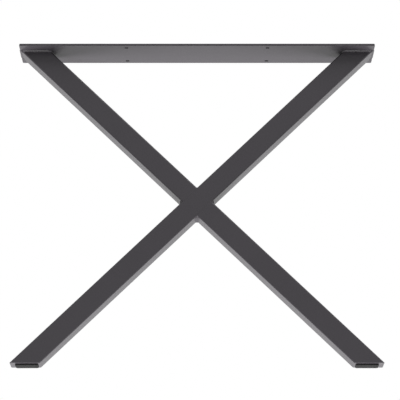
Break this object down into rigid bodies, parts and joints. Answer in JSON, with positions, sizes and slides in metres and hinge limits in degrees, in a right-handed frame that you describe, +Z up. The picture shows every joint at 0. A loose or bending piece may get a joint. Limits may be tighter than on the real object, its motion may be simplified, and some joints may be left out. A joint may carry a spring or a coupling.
{
  "type": "table frame",
  "caption": "X-shaped table leg of square steel tube under a flat mounting plate with screw holes, with glides under its feet.",
  "frame": {"origin": "on the floor under the middle of the mounting plate, midway between the feet", "axes": "+X along the mounting plate, +Y across it, +Z up from the glides to the plate"},
  "size_m": [0.7852, 0.1, 0.713],
  "materials": {
    "frame_coat": "satin anthracite powder coat with a fine texture",
    "weld_coat": "the same powder coat over rippled weld beads",
    "glide": "matt black rubber"
  },
  "bodies": {
    "root": {"top_plate": "frame_coat", "leg_through": "frame_coat", "leg_half_upper": "frame_coat", "leg_half_lower": "frame_coat", "foot_cap_left": "frame_coat", "foot_cap_right": "frame_coat", "plate_weld_left": "weld_coat", "plate_weld_right": "weld_coat", "crossing_weld_upper": "weld_coat", "crossing_weld_lower": "weld_coat", "glide_left": "glide", "glide_right": "glide"}
  },
  "joints": []
}
